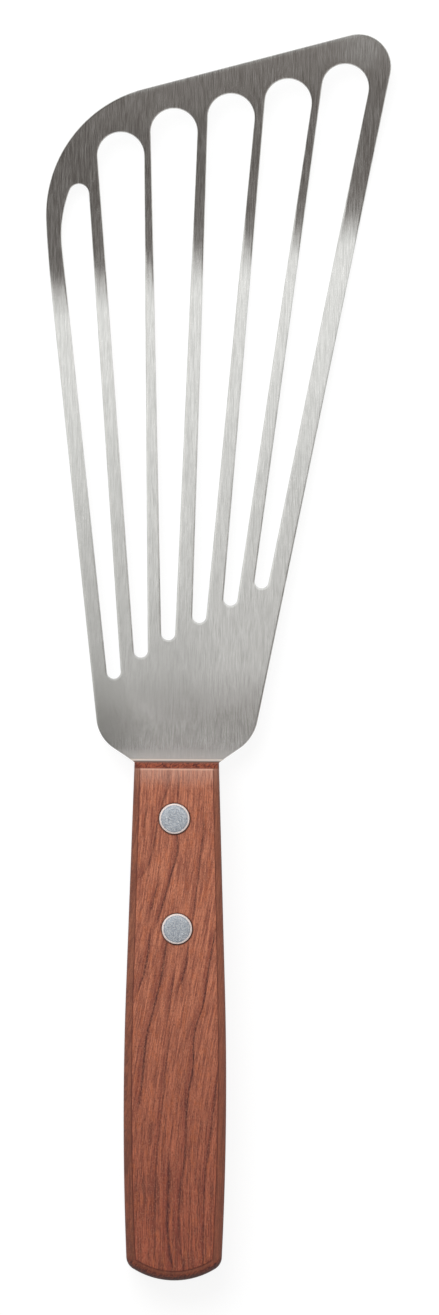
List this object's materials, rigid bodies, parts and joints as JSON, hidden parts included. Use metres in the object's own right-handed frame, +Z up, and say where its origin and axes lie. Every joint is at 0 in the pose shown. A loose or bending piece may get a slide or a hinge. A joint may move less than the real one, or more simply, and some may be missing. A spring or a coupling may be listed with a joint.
{
  "type": "slotted fish spatula",
  "caption": "Slotted fish spatula: a thin, slanted and upturned steel blade with tapered slots, riveted by its tang into a one-piece wooden handle.",
  "frame": {"origin": "middle of the part's box in plan, on the surface that it lies on", "axes": "+Y along the handle towards the front edge of the blade, +Z up, +X to the right of someone who looks down on it with the blade pointing away"},
  "size_m": [0.0764, 0.276, 0.0143],
  "materials": {
    "blade_steel": "stainless sheet, fine brushing along the length",
    "handle_wood": "oiled reddish rosewood, sanded smooth",
    "rivet_metal": "pressed flat heads, lightly mottled"
  },
  "bodies": {
    "root": {"blade": "blade_steel", "handle": "handle_wood", "front_rivet_post": "rivet_metal", "front_rivet_sleeve": "rivet_metal", "rear_rivet_post": "rivet_metal", "rear_rivet_sleeve": "rivet_metal"}
  },
  "joints": []
}
